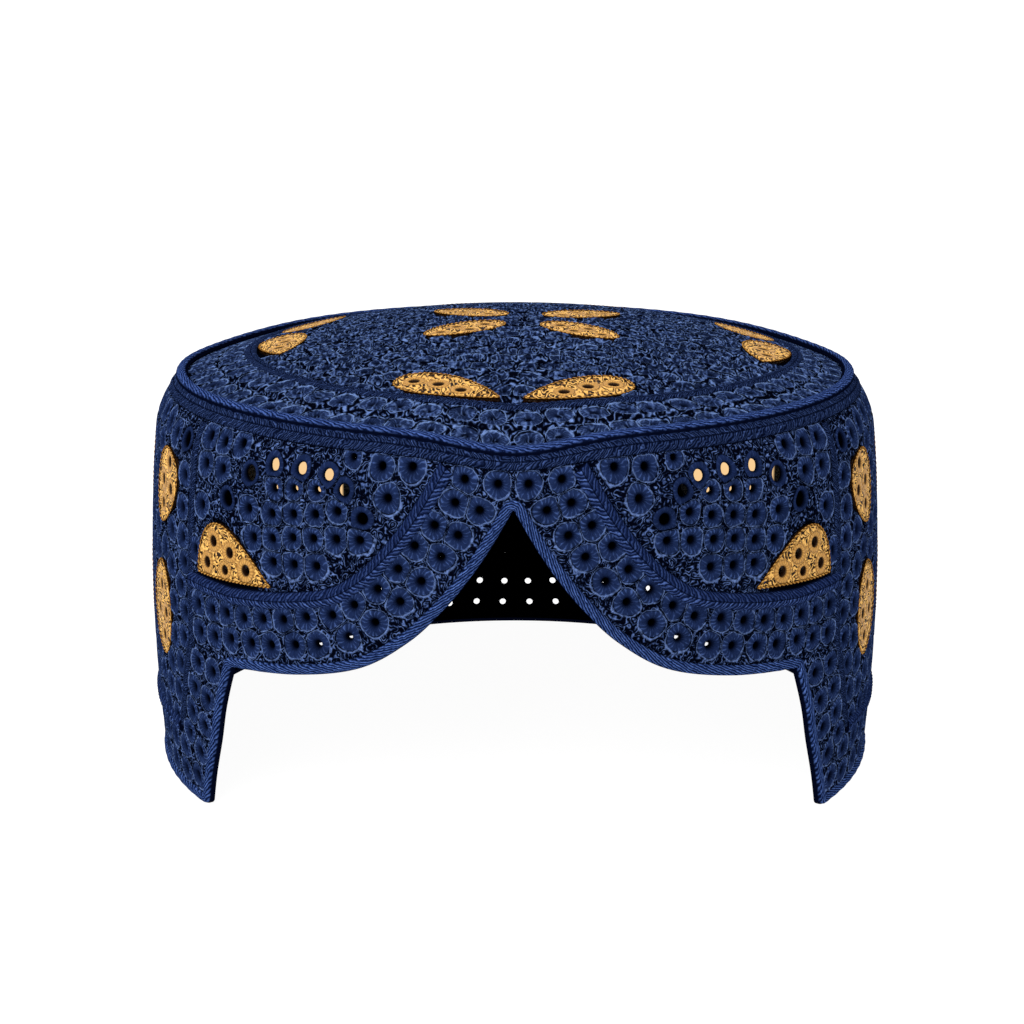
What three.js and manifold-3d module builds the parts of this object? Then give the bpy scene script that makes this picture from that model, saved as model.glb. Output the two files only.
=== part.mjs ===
// A Sindhi topi, the round embroidered cap of Sindh: a stiff cloth band whose front is cut away in
// two scallops that meet in a point, a low domed crown, plaited braids along every edge and seam,
// rows of open eyelets, and raised gold leaves.
// Millimetres, +Z up, the cut-away front faces -Y, and the cap stands on the flat foot of its band.
import * as THREE from "three";
import { mergeVertices } from "three/addons/utils/BufferGeometryUtils.js";
import Module from "manifold-3d";

const wasm = await Module();
wasm.setup();

// Driving dimensions of the band. Places on it are given on its unrolled cloth: "across" runs along
// the cloth from the middle of the front, at UNROLL_RADIUS, and "height" runs up from the foot.
const UNROLL_RADIUS = 92;
const WALL_HEIGHT = 97.65;
const FOOT_RADIUS = 90.72;
const TOP_RADIUS = 88.76;
const BELLY = 2.77;
const SHOULDER_DEPTH = 12;
const SHOULDER_DROP = 4.35;
const CLOTH = 2.4;
const BAND_TOP = 96.1;
const BAND_LEVELS = [0, 0.3, 0.6, 0.83, 0.93, 1];

// The cut-away front, right half: the scallop from its point to the corner of the hanging tail, and
// the tail's front edge down to its tip on the foot. The left half is its mirror image.
const SCALLOP_EDGE = [
  { across: 0, height: 85.6 },
  { across: 4.7, height: 77.2 },
  { across: 9.5, height: 69.9 },
  { across: 15.3, height: 62.6 },
  { across: 23.5, height: 54.5 },
  { across: 35.2, height: 47.2 },
  { across: 52, height: 42.9 },
  { across: 72.8, height: 40.1 },
];
const TAIL_EDGE = [
  { across: 72.8, height: 40.1 },
  { across: 77.2, height: 29 },
  { across: 80.2, height: 19.5 },
  { across: 84.3, height: 9.5 },
  { across: 88, height: 0 },
];
const SCALLOP_STEPS = 16;
const TAIL_STEPS = 4;
const BACK_STEPS = 42;
const LONGEST_STEP = 9.7;
const LONGEST_SHOULDER_STEP = 4;

// Braids: raised strips, each kept SEAM_GAP off the cloth under it and off its neighbours. Where two
// lines are joined, points closer to the corner than CORNER_ROOM are left out.
const SEAM_GAP = 0.3;
const CORNER_ROOM = 1;
const BRAID_RISE = 1.2;
const BRAID_BEVEL = 0.25;
const EDGE_BRAID = { inset: 0.25, width: 2.6, longestMitre: 1.2 };
const BORDER_WIDTH = 17.4;
const BORDER_BRAID_WIDTH = 4.2;
const SEAM_BRAID = { across: 90.4, width: 2.8 };
const TOP_BRAID = { low: 93.2, high: 95.8 };

// Crown: a domed disc with a thin flange, which lies on the band under the rim cord
const DOME_RIM_RADIUS = 84.8;
const DOME_FOOT = 97.35;
const DOME_RISE = 11.39;
const CROWN_THICKNESS = 2.2;
const CROWN_RADII = [0, 20, 38, 54, 69, 81.7];
const CROWN_UNDER_RADII = [81.5, 45, 0];
const FLANGE = { inner: 81.9, outer: 85.2, under: 96.4, top: 97, lip: 82.8 };
const ROUND_SEGMENTS = 50;
const RIM_CORD = { radius: 83.6, height: 98.5, thickness: 2.4, sides: 6 };

// The crown's pattern, its ring braid and leaves, isn't quite centred on the cap and is turned a little
const CROWN_PATTERN = { x: 2.3, y: 7.5, turnDegrees: -2.5 };

// Lean: the rim stands a little higher in front than behind, and sinks softly over the point of the
// front and a little behind each side. This fades down the wall and towards the crown's middle.
const LEAN = { front: 2, wallPower: 8, crownPower: 4 };
const DIPS = [
  { azimuth: 0, depth: 3.6, width: 0.19 },
  { azimuth: 1.95, depth: 1.2, width: 0.36 },
];
const RING_BRAID = { radius: 69.5, width: 3.2 };

// Eyelets that are open right through: two staggered rows in the border that follows the band's
// whole lower edge, and an arch of larger rings in each front panel
const EYELET_RADIUS = 1.1;
const BIG_EYELET_RADIUS = 1.7;
const EYELET_SIDES = 6;
const DRILL_LENGTH = 9;
const BORDER_ROWS = [
  { inset: 6.7, first: 9.4, pitch: 7.2, centred: false },
  { inset: 12.5, first: 20.4, pitch: 7.1, centred: true },
];
const ROW_TOP = 91.5;
const FRONT_EYELETS_REACH = 81;
const BACK_EYELETS_REACH = 56;
const BIG_EYELETS = [
  { across: 34.9, height: 81.6 },
  { across: 39.5, height: 87.1 },
  { across: 43.9, height: 89.5 },
  { across: 51.8, height: 90.3 },
  { across: 59.6, height: 90.1 },
  { across: 67.1, height: 86.9 },
  { across: 74.3, height: 80.4 },
  { across: 94.6, height: 88.6 },
];

// Leaves. Each runs from a sharp tip to a round head, and bulges by "left" and "right" of that line;
// "powers" say how slowly it opens from the tip and how bluntly it closes at the head.
const LEAF_RISE = 1.0;
const LEAF_STATIONS = [0.015, 0.2, 0.48, 0.78, 0.985];
const WALL_LEAVES = [
  { name: "panel_leaf", tip: [59.3, 62.5], head: [86, 60.8], left: 12.2, right: 0.4, powers: [1.1, 0.5] },
  { name: "side_leaf_upper", tip: [111.6, 67.1], head: [102.4, 83.6], left: 5.8, right: 9, powers: [0.6, 0.4] },
  { name: "side_leaf_lower", tip: [108.8, 33.5], head: [110.4, 57], left: 6.6, right: 9.4, powers: [0.6, 0.6] },
  { name: "back_leaf", tip: [194, 58], head: [238, 45], left: 6.5, right: 6.5, powers: [0.8, 0.5] },
];
const SIDE_MOTIF_ACROSS = 124;
const END_RIM_LEAF = { tip: [2.8, -65], head: [27.4, -53.6], half: 6.2, powers: [0.9, 0.45] };
const SIDE_RIM_LEAF = { tip: [29.5, -56], head: [3, -62.7], half: 6, powers: [0.8, 0.5] };
const RIM_LEAF_PAIRS = [
  { name: "front", leaf: END_RIM_LEAF, azimuth: 0 },
  { name: "right", leaf: SIDE_RIM_LEAF, azimuth: 98.6 },
  { name: "back", leaf: END_RIM_LEAF, azimuth: 180 },
  { name: "left", leaf: SIDE_RIM_LEAF, azimuth: -98.6 },
];
const CENTRE_LEAF = { tip: [23.8, 18.2], head: [5.2, 5], half: 6, powers: [0.6, 0.5] };

// Finishes
const BLUE = new THREE.MeshStandardMaterial({ color: 0x1e3270, roughness: 0.75, metalness: 0 });
const BRAID_BLUE = new THREE.MeshStandardMaterial({ color: 0x2c4894, roughness: 0.6, metalness: 0 });
const GOLD = new THREE.MeshStandardMaterial({ color: 0xcd963c, roughness: 0.5, metalness: 0.1 });

const PERIMETER = 2 * Math.PI * UNROLL_RADIUS;
const cap = new THREE.Group();

function addPiece(name, geometry, material) {
  const place = geometry.attributes.position;
  for (let i = 0; i < place.count; i++) {
    place.setZ(i, leaned(place.getX(i), place.getY(i), place.getZ(i)));
  }
  geometry.computeVertexNormals();
  const piece = new THREE.Mesh(geometry, material);
  piece.name = name;
  cap.add(piece);
}

// Surfaces of the cap. "out" stands off the cloth.
function wallRadius(height) {
  const t = height / WALL_HEIGHT;
  const shoulder = Math.max(0, (height - WALL_HEIGHT + SHOULDER_DEPTH) / SHOULDER_DEPTH);
  const bulge = 4 * BELLY * t * (1 - t);
  return FOOT_RADIUS + (TOP_RADIUS - FOOT_RADIUS) * t + bulge - SHOULDER_DROP * shoulder ** 2;
}

function onWall(across, height, out) {
  const azimuth = across / UNROLL_RADIUS;
  const radius = wallRadius(height) + out;
  return new THREE.Vector3(radius * Math.sin(azimuth), -radius * Math.cos(azimuth), height);
}

// The height of a place once the rim leans
function leaned(x, y, z) {
  const onWallShare = Math.min(1, Math.max(0, z) / WALL_HEIGHT) ** LEAN.wallPower;
  const onCrownShare = Math.min(1, Math.hypot(x, y) / DOME_RIM_RADIUS) ** LEAN.crownPower;
  const fromFront = Math.abs(Math.atan2(x, -y));
  let lean = (-LEAN.front * y) / DOME_RIM_RADIUS;
  for (const { azimuth, depth, width } of DIPS) {
    lean -= depth * Math.exp(-(((fromFront - azimuth) / width) ** 2));
  }
  return z + onWallShare * onCrownShare * lean;
}

function domeHeight(radius) {
  return DOME_FOOT + DOME_RISE * (1 - (radius / DOME_RIM_RADIUS) ** 2);
}

// A place of the crown's pattern, given from its middle, put on the crown
function onCrown(place, out) {
  const turn = THREE.MathUtils.degToRad(CROWN_PATTERN.turnDegrees);
  const turned = place.clone().rotateAround(new THREE.Vector2(), turn);
  const [x, y] = [turned.x + CROWN_PATTERN.x, turned.y + CROWN_PATTERN.y];
  return new THREE.Vector3(x, y, domeHeight(Math.hypot(x, y)) + out);
}

// A solid lofted through sections that all have the same even number of corners. An end is closed by
// strips from its first corners to its last ones.
function loft(sections, closed) {
  const corners = sections[0].length;
  const index = [];
  const spans = closed ? sections.length : sections.length - 1;
  for (let s = 0; s < spans; s++) {
    const next = (s + 1) % sections.length;
    for (let k = 0; k < corners; k++) {
      const turn = (k + 1) % corners;
      const [a, b, c, d] = [s * corners + k, s * corners + turn, next * corners + turn, next * corners + k];
      index.push(a, b, c, a, c, d);
    }
  }
  if (!closed) {
    const last = (sections.length - 1) * corners;
    for (let k = 0; k < corners / 2 - 1; k++) {
      const [a, b, c, d] = [k, k + 1, corners - 2 - k, corners - 1 - k];
      index.push(a, c, b, a, d, c, last + a, last + b, last + c, last + a, last + c, last + d);
    }
  }
  const geometry = new THREE.BufferGeometry().setFromPoints(sections.flat());
  if (volumeOf(geometry, index) < 0) {
    index.reverse();
  }
  geometry.setIndex(index);
  return geometry;
}

function volumeOf(geometry, index) {
  const point = geometry.getAttribute("position");
  const [a, b, c] = [new THREE.Vector3(), new THREE.Vector3(), new THREE.Vector3()];
  let sum = 0;
  for (let i = 0; i < index.length; i += 3) {
    a.fromBufferAttribute(point, index[i]);
    b.fromBufferAttribute(point, index[i + 1]);
    c.fromBufferAttribute(point, index[i + 2]);
    sum += a.dot(b.cross(c)) / 6;
  }
  return sum;
}

// The band's lower edge as one loop on the unrolled cloth: from the point of the front along the
// right scallop and tail, round the back and up the left side
function spline(points, steps) {
  const curve = new THREE.SplineCurve(points.map((p) => new THREE.Vector2(p.across, p.height)));
  return curve.getPoints(steps);
}

function lowerEdge() {
  const right = [...spline(SCALLOP_EDGE, SCALLOP_STEPS), ...spline(TAIL_EDGE, TAIL_STEPS).slice(1)];
  const tip = right[right.length - 1].x;
  const back = [];
  for (let i = 1; i < BACK_STEPS; i++) {
    back.push(new THREE.Vector2(tip + ((PERIMETER - 2 * tip) * i) / BACK_STEPS, 0));
  }
  const left = right.slice(1).reverse().map((p) => new THREE.Vector2(PERIMETER - p.x, p.y));
  return [...right, ...back, ...left];
}

// The same loop moved into the cloth, with mitred corners no longer than longestMitre
function insetLoop(loop, distance, longestMitre = Infinity) {
  return loop.map((point, i) => {
    const before = i > 0 ? loop[i - 1] : new THREE.Vector2(loop.at(-1).x - PERIMETER, loop.at(-1).y);
    const after = i < loop.length - 1 ? loop[i + 1] : new THREE.Vector2(PERIMETER, loop[0].y);
    const [first, second] = [normalOf(before, point), normalOf(point, after)];
    const mitre = first.clone().add(second).divideScalar(1 + first.dot(second)).clampLength(0, longestMitre);
    return point.clone().addScaledVector(mitre, distance);
  });
}

function normalOf(from, to) {
  const along = to.clone().sub(from).normalize();
  return new THREE.Vector2(-along.y, along.x);
}

// Braids on the wall, between two lines of the unrolled cloth
function wallBraid(inner, outer, closed) {
  const sections = inner.map((a, i) => {
    const b = outer[i];
    const rows = [
      [0, SEAM_GAP],
      [BRAID_BEVEL, SEAM_GAP + BRAID_RISE],
      [1 - BRAID_BEVEL, SEAM_GAP + BRAID_RISE],
      [1, SEAM_GAP],
    ];
    return rows.map(([share, out]) => {
      const p = a.clone().lerp(b, share);
      return onWall(p.x, p.y, out);
    });
  });
  return loft(sections, closed);
}

// A line with points added so that its straight steps stay close to the rounded wall
function refined(line) {
  const places = [line[0]];
  for (let i = 1; i < line.length; i++) {
    const isOnShoulder = line[i - 1].y > WALL_HEIGHT - SHOULDER_DEPTH;
    const longest = isOnShoulder ? LONGEST_SHOULDER_STEP : LONGEST_STEP;
    const steps = Math.ceil(line[i].distanceTo(line[i - 1]) / longest);
    for (let k = 1; k <= steps; k++) {
      places.push(line[i - 1].clone().lerp(line[i], k / steps));
    }
  }
  return places;
}

function ribbon(line, width) {
  const centreLine = refined(line);
  const side = (sign) =>
    centreLine.map((point, i) => {
      const before = centreLine[Math.max(i - 1, 0)];
      const after = centreLine[Math.min(i + 1, centreLine.length - 1)];
      return point.clone().addScaledVector(normalOf(before, after), (sign * width) / 2);
    });
  return wallBraid(side(-1), side(1), false);
}

// Where a line of the unrolled cloth is walked at an even pitch
function walk(path, first, pitch) {
  const places = [];
  let done = 0;
  let next = first;
  for (let i = 1; i < path.length; i++) {
    const length = path[i].distanceTo(path[i - 1]);
    while (next <= done + length) {
      places.push(path[i - 1].clone().lerp(path[i], (next - done) / length));
      next += pitch;
    }
    done += length;
  }
  return places;
}

function lengthOf(path) {
  return path.slice(1).reduce((sum, point, i) => sum + point.distanceTo(path[i]), 0);
}

// Eyelets of one border row, from the point of the front to the middle of the back, on both halves
function borderRow(loop, row) {
  const path = insetLoop(loop, row.inset).filter((p) => p.x <= PERIMETER / 2);
  path.push(new THREE.Vector2(PERIMETER / 2, row.inset));
  const spare = row.centred ? 0 : 0.5;
  const steps = Math.round((lengthOf(path) - row.first) / row.pitch - spare);
  const pitch = (lengthOf(path) - row.first) / (steps + spare);
  const right = walk(path, row.first, pitch - 1e-6).filter((p) => p.y < ROW_TOP);
  const left = right.filter((p) => p.x < PERIMETER / 2 - 1).map((p) => new THREE.Vector2(-p.x, p.y));
  return [...right, ...left];
}

function isOpen(place) {
  const fromFront = Math.abs(place.x);
  return fromFront < FRONT_EYELETS_REACH || PERIMETER / 2 - fromFront < BACK_EYELETS_REACH;
}

function drill(place, radius) {
  const geometry = new THREE.CylinderGeometry(radius, radius, DRILL_LENGTH, EYELET_SIDES);
  geometry.rotateZ(Math.PI / 2);
  geometry.rotateZ(place.x / UNROLL_RADIUS - Math.PI / 2);
  const centre = onWall(place.x, place.y, -CLOTH / 2);
  geometry.translate(centre.x, centre.y, centre.z);
  return asSolid(geometry);
}

function asSolid(geometry) {
  const bare = geometry.clone();
  bare.deleteAttribute("normal");
  bare.deleteAttribute("uv");
  const merged = mergeVertices(bare);
  return new wasm.Manifold(
    new wasm.Mesh({
      numProp: 3,
      vertProperties: Float32Array.from(merged.getAttribute("position").array),
      triVerts: Uint32Array.from(merged.getIndex().array),
    }),
  );
}

function asGeometry(solid) {
  const mesh = solid.getMesh();
  const geometry = new THREE.BufferGeometry();
  geometry.setAttribute("position", new THREE.BufferAttribute(mesh.vertProperties, 3));
  geometry.setIndex(new THREE.BufferAttribute(mesh.triVerts, 1));
  return geometry;
}

// The band: one layer of stitched cloth, a closed ring whose foot follows the lower edge
const edge = lowerEdge();

function addBand() {
  const sections = edge.map((foot) => {
    const heights = BAND_LEVELS.map((level) => foot.y + (BAND_TOP - foot.y) * level);
    const outer = heights.map((height) => onWall(foot.x, height, 0));
    const inner = heights.reverse().map((height) => onWall(foot.x, height, -CLOTH));
    return [...outer, ...inner];
  });
  const small = BORDER_ROWS.flatMap((row) => borderRow(edge, row)).filter(isOpen);
  const big = BIG_EYELETS.flatMap(({ across, height }) => [
    new THREE.Vector2(across, height),
    new THREE.Vector2(-across, height),
  ]);
  const drills = [
    ...small.map((place) => drill(place, EYELET_RADIUS)),
    ...big.map((place) => drill(place, BIG_EYELET_RADIUS)),
  ];
  const pierced = asSolid(loft(sections, true)).subtract(wasm.Manifold.union(drills));
  addPiece("band", asGeometry(pierced), BLUE);
}

// The braids of the band: along its whole lower edge, the inner line of its border, the two side
// seams, and the top under the rim cord
function addBandBraids() {
  const outerLine = insetLoop(edge, EDGE_BRAID.inset);
  const innerLine = insetLoop(edge, EDGE_BRAID.inset + EDGE_BRAID.width, EDGE_BRAID.longestMitre);
  addPiece("edge_braid", wallBraid(outerLine, innerLine, true), BRAID_BLUE);

  const border = insetLoop(edge, BORDER_WIDTH);
  const clearOfTop = TOP_BRAID.low - SEAM_GAP - BORDER_BRAID_WIDTH / 2;
  const clearOfSeam = SEAM_BRAID.across - SEAM_BRAID.width / 2 - SEAM_GAP;
  const scallop = border.filter((p) => p.y < clearOfTop && p.x < clearOfSeam - CORNER_ROOM);
  scallop.unshift(pointAtHeight(border, clearOfTop));
  scallop.push(new THREE.Vector2(clearOfSeam, scallop.at(-1).y));
  const lowLine = BORDER_WIDTH + CORNER_ROOM;
  const seamEnd = border.find((p) => p.x > SEAM_BRAID.across && p.y < lowLine);
  const tail = border.filter((p) => p.x > SEAM_BRAID.across && p.x < seamEnd.x && p.y > lowLine);
  const seamTop = new THREE.Vector2(SEAM_BRAID.across, TOP_BRAID.low - SEAM_GAP);
  const seamLow = BORDER_WIDTH + BORDER_BRAID_WIDTH / 2 + SEAM_GAP;
  const seam = [seamTop, new THREE.Vector2(SEAM_BRAID.across, WALL_HEIGHT - SHOULDER_DEPTH), ...tail];
  seam.push(tail.at(-1).clone().lerp(seamEnd, (tail.at(-1).y - seamLow) / (tail.at(-1).y - seamEnd.y)));
  for (const [side, sign] of [["right", 1], ["left", -1]]) {
    const mirrored = (line) => line.map((p) => new THREE.Vector2(sign * p.x, p.y));
    addPiece(`arch_braid_${side}`, ribbon(mirrored(scallop), BORDER_BRAID_WIDTH), BRAID_BLUE);
    addPiece(`seam_braid_${side}`, ribbon(mirrored(seam), SEAM_BRAID.width), BRAID_BLUE);
  }
  const back = border.filter((p) => p.x >= seamEnd.x && p.x < PERIMETER - seamEnd.x + CORNER_ROOM);
  const low = back.map((p) => new THREE.Vector2(p.x, BORDER_WIDTH));
  addPiece("low_braid", ribbon(low, BORDER_BRAID_WIDTH), BRAID_BLUE);

  const round = Array.from({ length: ROUND_SEGMENTS }, (_, i) => (PERIMETER * i) / ROUND_SEGMENTS);
  const atHeight = (height) => round.map((across) => new THREE.Vector2(across, height));
  addPiece("top_braid", wallBraid(atHeight(TOP_BRAID.low), atHeight(TOP_BRAID.high), true), BRAID_BLUE);
}

function pointAtHeight(line, height) {
  const i = line.findIndex((p) => p.y < height);
  const [above, below] = [line[i - 1], line[i]];
  return above.clone().lerp(below, (above.y - height) / (above.y - below.y));
}

// The crown, its rim cord and its ring braid
function addCrown() {
  const profile = [
    ...CROWN_RADII.map((r) => new THREE.Vector2(r, domeHeight(r))),
    new THREE.Vector2(FLANGE.inner, FLANGE.top),
    new THREE.Vector2(FLANGE.outer, FLANGE.top),
    new THREE.Vector2(FLANGE.outer, FLANGE.under),
    new THREE.Vector2(FLANGE.lip, FLANGE.under),
    ...CROWN_UNDER_RADII.map((r) => new THREE.Vector2(r, domeHeight(r) - CROWN_THICKNESS)),
  ];
  addPiece("crown_top", lathe(profile), BLUE);

  const cord = [];
  for (let i = 0; i <= RIM_CORD.sides; i++) {
    const turn = (2 * Math.PI * i) / RIM_CORD.sides + Math.PI / 2;
    const reach = RIM_CORD.thickness / 2;
    const [outward, upward] = [reach * Math.cos(turn), reach * Math.sin(turn)];
    cord.push(new THREE.Vector2(RIM_CORD.radius + outward, RIM_CORD.height + upward));
  }
  addPiece("rim_cord", lathe(cord), BRAID_BLUE);

  const sections = [];
  for (let i = 0; i < ROUND_SEGMENTS; i++) {
    const turn = (2 * Math.PI * i) / ROUND_SEGMENTS;
    const rows = [
      [-0.5, SEAM_GAP],
      [BRAID_BEVEL - 0.5, SEAM_GAP + BRAID_RISE],
      [0.5 - BRAID_BEVEL, SEAM_GAP + BRAID_RISE],
      [0.5, SEAM_GAP],
    ];
    const place = ([share, out]) => {
      const radius = RING_BRAID.radius + share * RING_BRAID.width;
      return onCrown(new THREE.Vector2(radius * Math.sin(turn), -radius * Math.cos(turn)), out);
    };
    sections.push(rows.map(place));
  }
  addPiece("crown_ring_braid", loft(sections, true), BRAID_BLUE);
}

function lathe(profile) {
  const geometry = new THREE.LatheGeometry(profile, ROUND_SEGMENTS);
  geometry.rotateX(Math.PI / 2);
  const solid = asSolid(geometry);
  return solid.volume() > 0 ? asGeometry(solid) : asGeometry(asSolid(flipped(geometry)));
}

function flipped(geometry) {
  const turned = geometry.clone();
  turned.setIndex(Array.from(geometry.getIndex().array).reverse());
  return turned;
}

// A leaf: thin raised pad over a surface, "place" puts a point of its flat pattern on the cap
function leafGeometry(leaf, place) {
  const tip = new THREE.Vector2(...leaf.tip);
  const head = new THREE.Vector2(...leaf.head);
  const aside = normalOf(tip, head);
  const [tipPower, headPower] = leaf.powers;
  const fullest = tipPower / (tipPower + headPower);
  const swell = (s) => s ** tipPower * (1 - s) ** headPower;
  const sections = LEAF_STATIONS.map((s) => {
    const share = swell(s) / swell(fullest);
    const spine = tip.clone().lerp(head, s);
    const left = spine.clone().addScaledVector(aside, leaf.left * share);
    const right = spine.clone().addScaledVector(aside, -leaf.right * share);
    const middle = left.clone().lerp(right, 0.5);
    const under = [left, middle, right].map((p) => place(p, SEAM_GAP));
    const over = [right, middle, left].map((p) => place(p, SEAM_GAP + LEAF_RISE));
    return [...under, ...over];
  });
  return loft(sections, false);
}

function addLeaves() {
  const wall = (p, out) => onWall(p.x, p.y, out);
  for (const leaf of WALL_LEAVES) {
    const isSide = leaf.name.startsWith("side");
    for (const [side, sign] of [["right", 1], ["left", -1]]) {
      const mirrored = (p, out) => wall(new THREE.Vector2(sign * p.x, p.y), out);
      addPiece(`${leaf.name}_${side}${isSide ? "_front" : ""}`, leafGeometry(leaf, mirrored), GOLD);
      if (isSide) {
        const behind = (p, out) => wall(new THREE.Vector2(sign * (2 * SIDE_MOTIF_ACROSS - p.x), p.y), out);
        addPiece(`${leaf.name}_${side}_back`, leafGeometry(leaf, behind), GOLD);
      }
    }
  }
  for (const pair of RIM_LEAF_PAIRS) {
    for (const [side, sign] of [["right", 1], ["left", -1]]) {
      const turned = (p, out) => {
        const ownSide = new THREE.Vector2(sign * p.x, p.y);
        const azimuth = THREE.MathUtils.degToRad(pair.azimuth);
        return onCrown(ownSide.rotateAround(new THREE.Vector2(), azimuth), out);
      };
      addPiece(`rim_leaf_${pair.name}_${side}`, leafGeometry(evenLeaf(pair.leaf), turned), GOLD);
    }
  }
  for (const [end, endSign] of [["front", -1], ["back", 1]]) {
    for (const [side, sign] of [["right", 1], ["left", -1]]) {
      const placed = (p, out) => onCrown(new THREE.Vector2(sign * p.x, endSign * p.y), out);
      addPiece(`centre_leaf_${end}_${side}`, leafGeometry(evenLeaf(CENTRE_LEAF), placed), GOLD);
    }
  }
}

// A leaf that bulges by half its width on both sides
function evenLeaf(leaf) {
  return { ...leaf, left: leaf.half, right: leaf.half };
}

addBand();
addBandBraids();
addCrown();
addLeaves();

export default cap;
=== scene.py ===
import math

import bmesh
import bpy
import numpy as np
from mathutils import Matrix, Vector


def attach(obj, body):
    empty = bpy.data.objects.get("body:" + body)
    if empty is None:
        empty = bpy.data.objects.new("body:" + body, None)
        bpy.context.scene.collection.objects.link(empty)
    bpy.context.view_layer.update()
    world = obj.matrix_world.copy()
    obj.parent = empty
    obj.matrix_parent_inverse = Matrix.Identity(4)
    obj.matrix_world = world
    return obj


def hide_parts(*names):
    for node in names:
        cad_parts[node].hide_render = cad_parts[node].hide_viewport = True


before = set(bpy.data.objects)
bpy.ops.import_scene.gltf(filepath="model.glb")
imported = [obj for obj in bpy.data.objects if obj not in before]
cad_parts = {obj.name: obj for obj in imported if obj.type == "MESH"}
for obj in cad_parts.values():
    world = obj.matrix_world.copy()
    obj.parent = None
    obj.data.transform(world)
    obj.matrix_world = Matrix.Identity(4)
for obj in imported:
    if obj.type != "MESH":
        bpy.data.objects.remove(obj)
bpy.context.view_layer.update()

# The band's cloth
# The wall of the cap is cotton, cut as one long strip, stiffened and then stitched all over, so that
# nothing of it shows but eyelets: a hole, a ring of satin stitches round it and one outline thread.
# Places on it are in millimetres on the strip laid flat: across from the middle of the front, height.
MILLIMETRE = 0.001
ROLL_RADIUS = 92
ROUND = 2 * math.pi * ROLL_RADIUS
WALL_HEIGHT = 97.65
FOOT_RADIUS = 90.72
TOP_RADIUS = 88.76
BELLY = 2.77
SHOULDER_DEPTH = 12
SHOULDER_DROP = 4.35

# The rim stands a little higher in front than behind, and sinks softly over the point of the front
# and a little behind each side. This fades down the wall and towards the crown's middle.
RIM_RADIUS = 84.8
LEAN_FRONT = 2
DIPS = [{"azimuth": 0, "depth": 3.6, "width": 0.19}, {"azimuth": 1.95, "depth": 1.2, "width": 0.36}]


def leaned(x, y, z):
    wall_share = np.clip(z / WALL_HEIGHT, 0, 1) ** 8
    crown_share = np.clip(np.hypot(x, y) / RIM_RADIUS, 0, 1) ** 4
    from_front = np.abs(np.arctan2(x, -y))
    lean = -LEAN_FRONT * y / RIM_RADIUS
    for dip in DIPS:
        lean = lean - dip["depth"] * np.exp(-((from_front - dip["azimuth"]) / dip["width"]) ** 2)
    return MILLIMETRE * np.stack([x, y, z + wall_share * crown_share * lean], axis=1)


def on_wall(flat, out):
    """Puts places of the laid-out strip on the round wall, out millimetres off the cloth."""
    across, height = np.asarray(flat, float).T
    share = height / WALL_HEIGHT
    shoulder = np.maximum(0, (height - WALL_HEIGHT + SHOULDER_DEPTH) / SHOULDER_DEPTH)
    radius = FOOT_RADIUS + (TOP_RADIUS - FOOT_RADIUS) * share + 4 * BELLY * share * (1 - share)
    radius = radius - SHOULDER_DROP * shoulder ** 2 + out
    turn = across / ROLL_RADIUS
    return leaned(radius * np.sin(turn), -radius * np.cos(turn), height)


# The cut-away front, right half: the scallop from its point to the corner of the tail, then the
# front edge of the tail down to its tip. From there the foot runs flat to the middle of the back.
SCALLOP = [
    (0, 85.6), (4.7, 77.2), (9.5, 69.9), (15.3, 62.6), (23.5, 54.5), (35.2, 47.2), (52, 42.9), (72.8, 40.1),
]
TAIL = [(72.8, 40.1), (77.2, 29), (80.2, 19.5), (84.3, 9.5), (88, 0)]
FINE_STEP = 0.8
TOP_SEAM = 94.7
BACK = ROUND / 2


def smooth(points, step=FINE_STEP):
    """A smooth line through the points, as places an even step apart."""
    knots = np.array([points[0], *points, points[-1]], float)
    share = np.linspace(0, 1, 24, endpoint=False)[:, None]
    line = []
    for a, b, c, d in zip(knots, knots[1:], knots[2:], knots[3:]):
        cube = 3 * b - a - 3 * c + d
        square = 2 * a - 5 * b + 4 * c - d
        line.append(b + 0.5 * share * ((c - a) + share * (square + share * cube)))
    return spaced(np.concatenate([*line, knots[-1:]]), step)


def spaced(line, step):
    """The same line with its places an even step apart, first and last kept."""
    line = np.asarray(line, float)
    done = np.concatenate([[0], np.cumsum(np.linalg.norm(np.diff(line, axis=0), axis=1))])
    places = np.linspace(0, done[-1], max(2, round(done[-1] / step) + 1))
    return np.stack([np.interp(places, done, line[:, k]) for k in (0, 1)], axis=1)


def nearest(places, line):
    """The point of the line nearest to each place."""
    starts, ends = line[:-1], line[1:]
    runs = ends - starts
    offsets = places[:, None] - starts
    share = np.clip((offsets * runs).sum(2) / (runs ** 2).sum(1), 0, 1)
    found = starts + share[..., None] * runs
    best = np.linalg.norm(places[:, None] - found, axis=2).argmin(1)
    return found[np.arange(len(places)), best]


def distance(places, line):
    return np.linalg.norm(places - nearest(places, line), axis=1)


def parallel(line, inset, step=FINE_STEP):
    """The line moved to its left, round its outer corners, without the loops of its inner ones."""
    found = []
    before = None
    for start, end in zip(line[:-1], line[1:]):
        run = (end - start) / np.linalg.norm(end - start)
        normal = np.array([-run[1], run[0]])
        if before is not None:
            turn = math.atan2(before[0] * normal[1] - before[1] * normal[0], before @ normal)
            for k in range(1, int(-turn * inset / step) + 1):
                angle = math.atan2(before[1], before[0]) - k * step / inset
                found.append(start + inset * np.array([math.cos(angle), math.sin(angle)]))
        found += [start + inset * normal, end + inset * normal]
        before = normal
    found = np.array(found)
    kept = found[distance(found, line) > inset - 0.02]
    return spaced(kept, step)


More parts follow.
